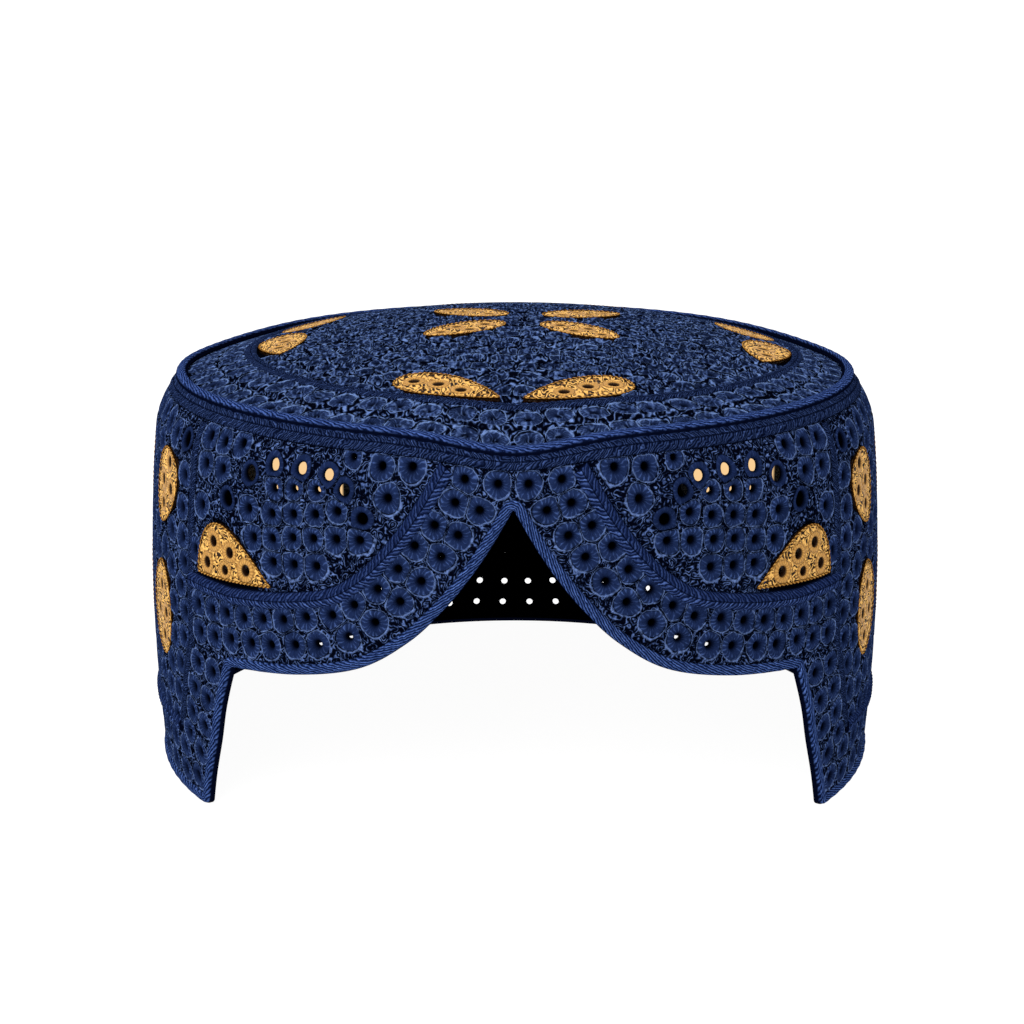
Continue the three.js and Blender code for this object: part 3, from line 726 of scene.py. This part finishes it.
def gold_finish(name, colours, glow, depth_scale=1):
    """Gold thread: smooth rings, and between them knots with a pit in each. Painted shade darkens the
    pits, the holes, the rings' outlines and the cells' sides, painted highlights light the satin and
    the knots, and the inner face is painted in shade. Where light from behind would come through the
    cloth, the inner face has a painted glow."""
    painted_shade, middle, light = colours
    finish, start = new_finish(name)
    turn, marked_course = uv_parts(start)
    fleck = noise(start, 1000, 2, depth_scale)
    patch = noise(start, 330, 2, depth_scale)
    is_pit = marked_course.above(2.5, 0.02)
    course = marked_course - is_pit * 4
    stripe = (turn + 1.5 * patch).waves()
    # painted highlights: the satin and the knots run from the middle gold to the highlight gold
    satin = ((0.25 + 0.4 * stripe) * (0.3 + 0.9 * fleck)).mixed(middle, light)
    curls = (noise(start, 450, 1, depth_scale) * 7).waves()
    knot = (curls * (0.2 + 1.8 * fleck)).mixed(middle, light)
    thread = is_pit.mixed(satin, knot)
    # painted shade: dark in the pits, in the rings' holes, round their outlines and along the cells' sides
    pitted = (0.5 * course + 0.75 * curls + fleck).above(1.17, 0.16)
    shown = is_pit * pitted + (1 - is_pit) * course.above(0.16, 0.2)
    rim_shade = (1 - is_pit) * course.bump_at(0.94, 0.12) * fleck.above(0.45, 0.3)
    colour = (shown * (1 - rim_shade) * (0.7 + 0.6 * patch)).mixed(painted_shade, thread)
    height = fleck * 0.5 + stripe * 0.3 * (1 - is_pit) + is_pit * curls * 0.6
    colour = course.above(1.97, 0.02).mixed(colour, painted_shade)
    # painted shade: the inner face takes the near-black inside shade colour
    inner_face = 1 - marked_course.above(-3, 0.2)
    colour = inner_face.mixed(colour, INSIDE_SHADE)
    aside = start.node("ShaderNodeTexCoord", output="Object")
    aside = start.node("ShaderNodeSeparateXYZ", {}, {"Vector": aside}, "X")
    aside = aside.math("ABSOLUTE", aside)
    # painted glow: emission on the back leaves' inner faces for the light shining through from behind
    lit_part = aside.above(GLOW_FROM, 0.0006) * (1 - aside.above(GLOW_TO, 0.0006))
    emission = (inner_face * lit_part).mixed((0, 0, 0), glow)
    close_finish(start, colour, 0.45, height, 0.6, Specular_IOR_Level=0.1,
                 Emission_Color=emission, Emission_Strength=1)
    return finish


# painted shade: the near-black brown of the pits, gaps and cord grooves
GOLD_PIT_SHADE = (0.014, 0.0045, 0.001)
GOLD_MIDDLE = (0.22, 0.088, 0.013)
# painted highlight: the cream gold of the satin and the knots
GOLD_HIGHLIGHT = (0.78, 0.44, 0.115)
GOLDS = (GOLD_PIT_SHADE, GOLD_MIDDLE, GOLD_HIGHLIGHT)
CROWN_GOLDS = (GOLD_PIT_SHADE, (0.27, 0.11, 0.016), GOLD_HIGHLIGHT)
gold_stitches = gold_finish("gold_stitches", GOLDS, (0, 0, 0))
crown_gold_stitches = gold_finish("crown_gold_stitches", CROWN_GOLDS, (0, 0, 0), 0.4)
# the back leaves' finish, with a painted glow on its inner face
lit_gold_stitches = gold_finish("lit_gold_stitches", GOLDS, (0.95, 0.62, 0.3))


def cord_finish(name, colours, slant, threads, depth, is_plait=False, side_shade=0, loose=0):
    """Plaited or twisted thread, with a painted highlight on the crown of each plait and painted shade in
    the grooves, in the groove where two rows of plaits meet and along both edges. Of two rows of plaits,
    the one on the left gets painted shade by side_shade, and loose makes them uneven."""
    groove, middle, light = colours
    finish, start = new_finish(name)
    along, share = uv_parts(start)
    fleck = noise(start, 1200)
    aside = share.math("ABSOLUTE", share)
    lean = (aside if is_plait else share) * slant + loose * noise(start, 300)
    plait = (along + lean + 0.25 * fleck).waves()
    strand = ((along + lean) * threads + 0.8 * fleck).waves()
    # painted highlight on the crowns of the plaits and strands, less of it on the left row by side_shade
    lit = (1 - depth * (1 - plait)) * strand * strand * fleck.above(0.45, 0.5)
    lit = lit * (1 - share.above(0, 0.2) * side_shade)
    # painted shade in the groove where the two rows of plaits meet
    seam = aside.above(0.06, 0.1) if is_plait else 1
    clear = (1 - depth * (1 - plait.above(0.05, 0.12))) * strand.above(0.12, 0.3)
    # painted shade: dark shadow lines along both edges of a braid, and on buried faces
    clear = clear * seam * (1 - aside.above(0.88, 0.12))
    colour = clear.mixed(groove, lit.mixed(middle, light))
    close_finish(start, colour, 0.7, depth * plait + 0.6 * strand, 0.7, Specular_IOR_Level=0)
    return finish


# painted shade in the grooves and a painted highlight on the beads of the gold cord
gold_cord = cord_finish("gold_cord", (GOLD_PIT_SHADE, GOLD_MIDDLE, (0.72, 0.42, 0.12)), 0.3, 1, 0.5)
OUTLINE_CORD = {"radius": 0.3, "out": -0.12, "sides": 6, "pitch": 1.3, "step": 0.4}
GROUND_SECTION = [(0.7, -1.0), (-1.9, -1.0), (-1.9, -1.5), (0.7, -1.5)]
# painted shade: the ground strips take the gap shade colour all over
ground_shade_finish = cord_finish("ground", (BLUE_GAP_SHADE, BLUE_GAP_SHADE, BLUE_GAP_SHADE), 0, 1, 0)
wall_outlines = []
wall_grounds = []


def level(along, share, turn):
    return 0 * along * share


def add_leaf(name, twin, leaf, moved, place, voids, outlines, grounds):
    """One leaf and the same leaf on the other half, its outline for the blue cloth to stop at, and
    the strip of ground that the two cloths overlap on, painted in shade."""
    left, right, rings = leaf_sides(leaf, moved)
    radii = [radius for _, _, radius in leaf["rings"]]
    cloth = leaf_cloth(left, right, rings, radii)
    finish = lit_gold_stitches if name.startswith("back") else gold_stitches
    finish = finish if place is on_wall else crown_gold_stitches
    make_piece(f"gold_{name}", cloth, place, finish, "gold_thread", name)
    make_piece(f"gold_{twin}", mirrored(cloth), place, finish, "gold_thread", twin)
    loop = np.concatenate([left, right[-2:0:-1]])
    loop = spaced(np.concatenate([loop, loop[:1]]), OUTLINE_CORD["step"])[:-1]
    section = round_section(OUTLINE_CORD["radius"], OUTLINE_CORD["out"], OUTLINE_CORD["sides"])
    cord = swept(loop, section, beads, OUTLINE_CORD["pitch"], closed=True)
    outlines += [cord, mirrored(cord)]
    after = np.roll(loop, -1, axis=0)
    is_anticlockwise = (loop[:, 0] * after[:, 1] - after[:, 0] * loop[:, 1]).sum() > 0
    ground = swept(loop if is_anticlockwise else loop[::-1], GROUND_SECTION, level, 5, closed=True)
    grounds += [ground, mirrored(ground)]
    voids.append(np.concatenate([loop, loop[:1]]))


def across_motif(flat):
    return np.array([2 * SIDE_MOTIF_ACROSS, 0]) + flat * [-1, 1]


wall_voids = []
for leaf in WALL_LEAVES:
    name = leaf["name"]
    if name.startswith("side"):
        for end, moved in (("front", lambda flat: flat), ("back", across_motif)):
            names = (f"{name}_right_{end}", f"{name}_left_{end}")
            add_leaf(*names, leaf, moved, on_wall, wall_voids, wall_outlines, wall_grounds)
    else:
        names = (f"{name}_right", f"{name}_left")
        add_leaf(*names, leaf, lambda flat: flat, on_wall, wall_voids, wall_outlines, wall_grounds)
outline_cords = make_piece("wall_leaf_cords", joined(wall_outlines), on_wall, gold_cord, "gold_thread")
make_piece("wall_leaf_grounds", joined(wall_grounds), on_wall, ground_shade_finish, "blue_cloth", "band")

# The panels
# Between the border and each side seam: a grid of eyelets under an arch of larger, smooth rings.
ARCH = [(34.9, 81.6), (39.5, 87.1), (43.9, 89.5), (51.8, 90.3), (59.6, 90.1), (67.1, 86.9), (74.3, 80.4)]
PANEL_GRID = [
    (46.9, 86.2), (53.3, 85.5), (59.2, 84.8), (41.4, 82.2), (47.2, 80.8), (52.9, 80.4), (59.5, 79.4),
    (67.0, 79.2), (41.3, 76.0), (47.2, 75.4), (53.3, 74.6), (59.1, 73.7), (65.3, 73.0), (52.5, 69.1),
    (59.0, 68.2), (35.4, 76.6), (46.6, 69.6), (85.0, 91.9), (78.4, 91.9), (71.9, 92.3), (84.1, 86.2),
    (77.6, 86.4), (38.3, 93.6), (30.8, 92.4), (23.4, 92.6), (28.9, 86.2),
]
LARGE_WEIGHT = 10.5

seam_line = np.array([seam_corner, (SEAM_ACROSS, TOP_SEAM + 10)])


def beyond_border(places):
    """Whether each place is on blue cloth between the border and the top, clear of the leaves."""
    clear = on_cloth(places) & ~inside(places, border_outline)
    for void in wall_voids:
        clear &= ~inside(places, void)
    return clear


def in_panel(places):
    return beyond_border(places) & (places[:, 0] < SEAM_ACROSS)


def in_field(places):
    return beyond_border(places) & (places[:, 0] > SEAM_ACROSS)


panel_area = Area([(scallop_top, True), (seam_line, True), (top_line, True), (wall_voids[0], True)], in_panel)
panel_fixed = np.array(ARCH + PANEL_GRID, float)
panel_weights = np.array([LARGE_WEIGHT] * len(ARCH) + [SMALL_WEIGHT] * len(PANEL_GRID))
panel_places, panel_weights = filled(panel_fixed, panel_weights, panel_area, 6.0, SMALL_WEIGHT, 2.2)
kinds = ["large"] * len(ARCH) + ["small"] * (len(panel_places) - len(ARCH))
panel = eyelets(panel_places, panel_weights, kinds, panel_area, generator, walled_cells=True)
panel = joined([panel, mirrored(panel)])
panel_piece = make_piece("panel_cloth", panel, on_wall, blue_stitches, "blue_cloth", "band")
declare_cloth(panel_piece, panel)

# The sides and back
# One stretch of cloth from seam to seam, with no pattern but the leaves. Its eyelets are closed
# behind, but for a large one near each seam.
side_large = np.array([(95.6, 89.4)])
field_area = Area([(tail_side, True), (seam_line, True), (top_line, True), (back_middle, True)]
                  + [(void, True) for void in wall_voids[1:]], in_field)
field_places, field_weights = filled(
    side_large, np.array([LARGE_WEIGHT]), field_area, FILL_PITCH, SMALL_WEIGHT, 2.3)
kinds = ["large"] + ["blind"] * (len(field_places) - 1)
field = eyelets(field_places, field_weights, kinds, field_area, generator)
for side, cloth in (("right", field), ("left", mirrored(field))):
    declare_cloth(make_piece(f"side_cloth_{side}", cloth, on_wall, blue_stitches, "blue_cloth", "band"), cloth)

# The braids of the band
# Flat plaited braids are sewn over the raw lower edge, the inner line of the border, the two side
# seams and the joint with the crown.
BRAID_STEP = 0.42
# painted shade for the braids' grooves and edges
BRAID_GROOVE_SHADE = (0.001, 0.002, 0.009)
BRAID_MIDDLE = (0.006, 0.013, 0.055)
# painted highlight on the crowns of the braids' plaits
BRAID_HIGHLIGHT = (0.085, 0.15, 0.4)
# each braid's colours: painted shade, middle blue and painted highlight
edge_rope = cord_finish("edge_rope", (BRAID_GROOVE_SHADE, (0.006, 0.015, 0.065), (0.09, 0.165, 0.45)), 0.8, 3, 0.4, False, 0, 0.35)
# the arch braid's left row of plaits gets painted shade
arch_braid = cord_finish("arch_braid", (BRAID_GROOVE_SHADE, BRAID_MIDDLE, BRAID_HIGHLIGHT), 0.9, 2, 0.6, True, 0.6, 1)
plain_braid = cord_finish(
    "plain_braid", (BRAID_GROOVE_SHADE, (0.003, 0.0065, 0.026), (0.045, 0.08, 0.22)), 0.9, 3, 0.6, True, 0, 1.6)


def flat_section(width, foot, rise, columns=8):
    """A low arched top over two sunk corners."""
    share = np.linspace(1, -1, columns)
    top = [(s * width / 2, foot + rise * (1 - s ** 4)) for s in share]
    return top + [(-width / 2, foot - 1.0), (width / 2, foot - 1.0)]


def herringbone(along, share, turn):
    """Two rows of slanted plaits that meet in a groove."""
    plaits = np.cos(2 * math.pi * (along + 0.9 * np.abs(share)))
    return 0.1 * plaits * (np.abs(share) < 0.99) - 0.22 * np.exp(-(share / 0.16) ** 2)


def rope(along, share, turn):
    """Strands that cross a cord aslant."""
    return 0.05 * np.cos(2 * math.pi * (along + 0.45 * share)) * (np.abs(share) < 0.99)


def full_round(line):
    """A right half line as a closed loop round the cap."""
    half = line[(line[:, 0] > 0.2) & (line[:, 0] < BACK - 0.2)]
    return np.concatenate([half, (half * [-1, 1] + [ROUND, 0])[::-1]])


edge_line = full_round(parallel(lower_edge, 1.5, BRAID_STEP))
edge = swept(edge_line, flat_section(2.7, -0.6, 1.3), rope, 5.2, closed=True)
make_piece("plaited_edge", edge, on_wall, edge_rope, "blue_braid", "edge_braid")

arch_line = spaced(np.concatenate([above_scallop, [seam_corner]]), BRAID_STEP)
arch_line = arch_line[(arch_line[:, 0] > 0) & (arch_line[:, 1] < TOP_SEAM - 1)]
arch = swept(arch_line, flat_section(4.3, -0.55, 1.3, 10), herringbone, 2.3)
make_piece("plaited_arch_right", arch, on_wall, arch_braid, "blue_braid", "arch_braid_right")
make_piece("plaited_arch_left", mirrored(arch), on_wall, arch_braid, "blue_braid", "arch_braid_left")

seam_path = beside_tail[beside_tail[:, 1] > BORDER_WIDTH + 0.5]
seam_path = spaced(np.concatenate([[(SEAM_ACROSS, TOP_SEAM - 0.5)], seam_path]), BRAID_STEP)
seam = swept(seam_path, flat_section(2.8, -0.55, 0.8), herringbone, 1.7)
make_piece("plaited_seam_right", seam, on_wall, plain_braid, "blue_braid", "seam_braid_right")
make_piece("plaited_seam_left", mirrored(seam), on_wall, plain_braid, "blue_braid", "seam_braid_left")

low_start = seam_path[-1, 0]
low_line = spaced([(low_start, BORDER_WIDTH), (ROUND - low_start, BORDER_WIDTH)], BRAID_STEP)
low = swept(low_line, flat_section(4.3, -0.55, 1.3, 10), herringbone, 2.3)
make_piece("plaited_low", low, on_wall, arch_braid, "blue_braid", "low_braid")

top_middle = (TOP_SEAM + WALL_HEIGHT + 0.9) / 2
top_braid_line = spaced([(0, top_middle), (ROUND, top_middle)], BRAID_STEP)[:-1]
top = swept(top_braid_line, flat_section(WALL_HEIGHT + 1.4 - TOP_SEAM, -0.5, 0.95), herringbone, 2.6, closed=True)
make_piece("plaited_top", top, on_wall, plain_braid, "blue_braid", "top_braid")

# The crown
# A disc of the same stitched cloth, slightly domed. A round braid parts a ring of two rows of fans
# from the field with the leaves.
DOME_FOOT = 97.35
DOME_RISE = 11.39
RING_RADIUS = 69.5
CLOTH_RADIUS = 82.6
ROW_PITCH = 7.3
FAN_WEIGHT = 9.0


# The pattern inside the ring braid isn't quite centred on the cap and is turned a little.
PATTERN_BACK = 7.5
PATTERN_RIGHT = 2.3
PATTERN_TURN = math.radians(-2.5)


def on_crown(flat, out):
    """Puts places of the crown's plan on the dome, out millimetres off the cloth."""
    from_middle = np.asarray(flat, float) - [0, PATTERN_BACK]
    away = np.linalg.norm(from_middle, axis=1)
    back_share = PATTERN_BACK * from_middle[:, 1] / np.maximum(away, 0.001)
    rim = np.sqrt(CLOTH_RADIUS ** 2 - PATTERN_BACK ** 2 + back_share ** 2) - back_share
    inner_share = 1 - np.clip((away - RING_RADIUS) / (rim - RING_RADIUS), 0, 1)
    cosine, sine = np.cos(PATTERN_TURN * inner_share), np.sin(PATTERN_TURN * inner_share)
    x = cosine * from_middle[:, 0] - sine * from_middle[:, 1] + PATTERN_RIGHT * inner_share
    y = sine * from_middle[:, 0] + cosine * from_middle[:, 1] + PATTERN_BACK
    return leaned(x, y, DOME_FOOT + DOME_RISE * (1 - (x ** 2 + y ** 2) / RIM_RADIUS ** 2) + out)


def crown_circle(share, step=FINE_STEP):
    """The right half of a circle from the ring braid, at share 0, to the rim, at share 1."""
    turn = np.linspace(0, math.pi, round(math.pi * CLOTH_RADIUS / step))
    radius = RING_RADIUS + share * (CLOTH_RADIUS - RING_RADIUS)
    return np.stack([radius * np.sin(turn), (1 - share) * PATTERN_BACK - radius * np.cos(turn)], axis=1)


middle_line = np.array([(0, -100), (0, 100)])
ring_line, part_line, rim_line = crown_circle(0), crown_circle(0.5), crown_circle(1)
# the crown's blues: painted shade, middle blue, painted highlight, outline thread and the inside shade
CROWN_BLUES = (BLUE_GAP_SHADE, (0.009, 0.018, 0.062), (0.062, 0.11, 0.29), (0.15, 0.24, 0.5), INSIDE_SHADE)
crown_stitches = eyelet_finish("crown_stitches", CROWN_BLUES, 1.6, 0.65, 0.35, 300)
row_stitches = eyelet_finish("row_stitches", CROWN_BLUES, 0.8, 0.4, 0.35, 300)
crown_rows = []


for share, bounds in ((0.27, (ring_line, part_line)), (0.75, (part_line, rim_line))):
    line = crown_circle(share, 0.2)
    steps = round(np.linalg.norm(np.diff(line, axis=0), axis=1).sum() / ROW_PITCH)
    row = line[((np.arange(steps) + 0.5) / steps * len(line)).astype(int)]
    row_area = Area([(bounds[0], True), (bounds[1], True), (middle_line, False)], lambda places: places[:, 0] > 900)
    row_weights = np.full(len(row), FAN_WEIGHT)
    crown_rows.append(eyelets(row, row_weights, ["fan"] * len(row), row_area, generator, 0.6))
rows_cloth = joined(crown_rows)
rows_cloth = joined([rows_cloth, mirrored(rows_cloth)])
rows_piece = make_piece("crown_rows", rows_cloth, on_crown, row_stitches, "blue_cloth", "crown_top")
declare_cloth(rows_piece, rows_cloth)

END_LEAF = {"tip": (2.8, -65), "head": (27.4, -53.6), "left": 6.2, "right": 6.2, "powers": (0.9, 0.45),
            "rings": [(0.36, -0.6, 2.5), (0.6, 0.3, 2.6), (0.83, 0.2, 2.5)]}
SIDE_LEAF = {"tip": (29.5, -56), "head": (3, -62.7), "left": 6, "right": 6, "powers": (0.8, 0.5),
             "rings": [(0.3, 0.5, 2.4), (0.56, -0.6, 2.6), (0.82, 0, 2.4)]}
RIM_LEAVES = [
    {"right": "front_right", "left": "front_left", "leaf": END_LEAF, "azimuth": 0, "flip": 1},
    {"right": "right_right", "left": "left_left", "leaf": SIDE_LEAF, "azimuth": 98.6, "flip": 1},
    {"right": "right_left", "left": "left_right", "leaf": SIDE_LEAF, "azimuth": 98.6, "flip": -1},
    {"right": "back_left", "left": "back_right", "leaf": END_LEAF, "azimuth": 180, "flip": -1},
]
CENTRE_LEAF = {"tip": (23.8, 18.2), "head": (5.2, 5), "left": 6, "right": 6, "powers": (0.6, 0.5),
               "rings": [(0.2, 0, 2.0), (0.46, 2.2, 2.0), (0.5, -2.4, 2.0), (0.78, 0.2, 2.3)]}
crown_voids = []
crown_outlines = []
crown_grounds = []


def turned(azimuth, flip):
    """How a leaf drawn at the front is turned about the crown's pattern."""
    angle = math.radians(azimuth)
    turn = np.array([(math.cos(angle), math.sin(angle)), (-math.sin(angle), math.cos(angle))])
    return lambda flat: (flat * [flip, 1]) @ turn + [0, PATTERN_BACK]


for leaf in RIM_LEAVES:
    names = (f"rim_leaf_{leaf['right']}", f"rim_leaf_{leaf['left']}")
    move = turned(leaf["azimuth"], leaf["flip"])
    add_leaf(*names, leaf["leaf"], move, on_crown, crown_voids, crown_outlines, crown_grounds)
for end, sign in (("front", -1), ("back", 1)):
    names = (f"centre_leaf_{end}_right", f"centre_leaf_{end}_left")
    add_leaf(*names, CENTRE_LEAF, lambda flat: flat * [1, sign] + [0, PATTERN_BACK],
             on_crown, crown_voids, crown_outlines, crown_grounds)
make_piece("crown_leaf_cords", joined(crown_outlines), on_crown, gold_cord, "gold_thread")
make_piece("crown_leaf_grounds", joined(crown_grounds), on_crown, ground_shade_finish, "blue_cloth", "crown_top")


def in_crown_field(places):
    clear = (np.hypot(places[:, 0], places[:, 1] - PATTERN_BACK) < RING_RADIUS) & (places[:, 0] > 0)
    for void in crown_voids:
        clear &= ~inside(places, void)
    return clear


crown_area = Area([(ring_line, True), (middle_line, False)] + [(void, True) for void in crown_voids], in_crown_field)
crown_places, crown_weights = filled(np.zeros((0, 2)), np.zeros(0), crown_area, 5.6, FAN_WEIGHT, 1.9)
crown = eyelets(crown_places, crown_weights, ["fan"] * len(crown_places), crown_area, generator, 1.0)
crown = joined([crown, mirrored(crown)])
crown_piece = make_piece("crown_field", crown, on_crown, crown_stitches, "blue_cloth", "crown_top")
declare_cloth(crown_piece, crown)


def full_circle(share, step):
    half = crown_circle(share, step)[1:-1]
    return np.concatenate([half, half[::-1] * [-1, 1]])


RING_GROUND = [(2.7, -1.0), (-2.7, -1.0), (-2.7, -1.5), (2.7, -1.5)]
ring_ground = swept(full_circle(0, 1), RING_GROUND, level, 5, closed=True)
make_piece("crown_ring_ground", ring_ground, on_crown, ground_shade_finish, "blue_cloth", "crown_top")
ring = swept(full_circle(0, BRAID_STEP), flat_section(3.4, -0.5, 0.9), herringbone, 2.0, closed=True)
make_piece("plaited_ring", ring, on_crown, plain_braid, "blue_braid", "crown_ring_braid")

# The rim cord
# A thick cord of two twisted strands lies over the joint of band and crown.
CORD_RADIUS = 1.25
CORD_RING = 83.7


def twisted(along, share, turn):
    return 0.04 * np.cos(2 * math.pi * (along + 2 * turn))


rim_turn = np.linspace(0, 2 * math.pi, round(2 * math.pi * CORD_RING / BRAID_STEP), endpoint=False)
# painted shade in the grooves and along the cord's edges, and a painted highlight on its strands
rim_twist = cord_finish("rim_twist", (BRAID_GROOVE_SHADE, (0.009, 0.02, 0.085), (0.075, 0.14, 0.4)), 1.2, 2, 0.15, False, 0, 1)
rim_path = CORD_RING * np.stack([np.sin(rim_turn), -np.cos(rim_turn)], axis=1)
cord = swept(rim_path, round_section(CORD_RADIUS, 0.9, 12), twisted, 5.2, closed=True)
make_piece("twisted_rim", cord, on_crown, rim_twist, "blue_braid", "rim_cord")

# Camera
# It stands in front of the cap and a little above it, as the photograph was taken.
camera = bpy.data.objects.new("camera", bpy.data.cameras.new("camera"))
CAMERA_TURN = math.radians(0.3)
camera.location = (-0.00077 + 0.58 * math.sin(CAMERA_TURN), -0.58 * math.cos(CAMERA_TURN), 0.2247)
camera.rotation_euler = (math.radians(74.10), 0, CAMERA_TURN)
camera.data.lens = 82.40
camera.data.sensor_width = 36
bpy.context.scene.collection.objects.link(camera)
bpy.context.scene.camera = camera

# Studio
# A white floor and white surroundings, with one large soft light above the front.
FLOOR_HALF = 6
floor_mesh = bpy.data.meshes.new("floor")
corners = [(x * FLOOR_HALF, y * FLOOR_HALF, 0) for x, y in ((-1, -1), (1, -1), (1, 1), (-1, 1))]
floor_mesh.from_pydata(corners, [], [(0, 1, 2, 3)])
floor = bpy.data.objects.new("floor", floor_mesh)
bpy.context.scene.collection.objects.link(floor)
white, start = new_finish("floor_white")
surface = start.node("ShaderNodeBsdfPrincipled", {}, {
    "Base Color": (0.2, 0.2, 0.2, 1), "Roughness": 1, "Specular IOR Level": 0,
    "Emission Color": (1, 1, 1, 1), "Emission Strength": 0.96})
start.node("ShaderNodeOutputMaterial", {}, {"Surface": surface})
floor_mesh.materials.append(white)

world = bpy.data.worlds.new("studio")
world.use_nodes = True
world.node_tree.nodes["Background"].inputs["Color"].default_value = (1, 1, 1, 1)
world.node_tree.nodes["Background"].inputs["Strength"].default_value = 1.0
bpy.context.scene.world = world
bpy.context.scene.view_settings.view_transform = "Standard"

light = bpy.data.objects.new("front_light", bpy.data.lights.new("front_light", "AREA"))
light.data.size = 1.2
light.data.energy = 18
light.location = (-0.5, -0.9, 1.1)
light.rotation_euler = (Vector((0, 0, 0.05)) - light.location).to_track_quat("-Z", "Y").to_euler()
bpy.context.scene.collection.objects.link(light)
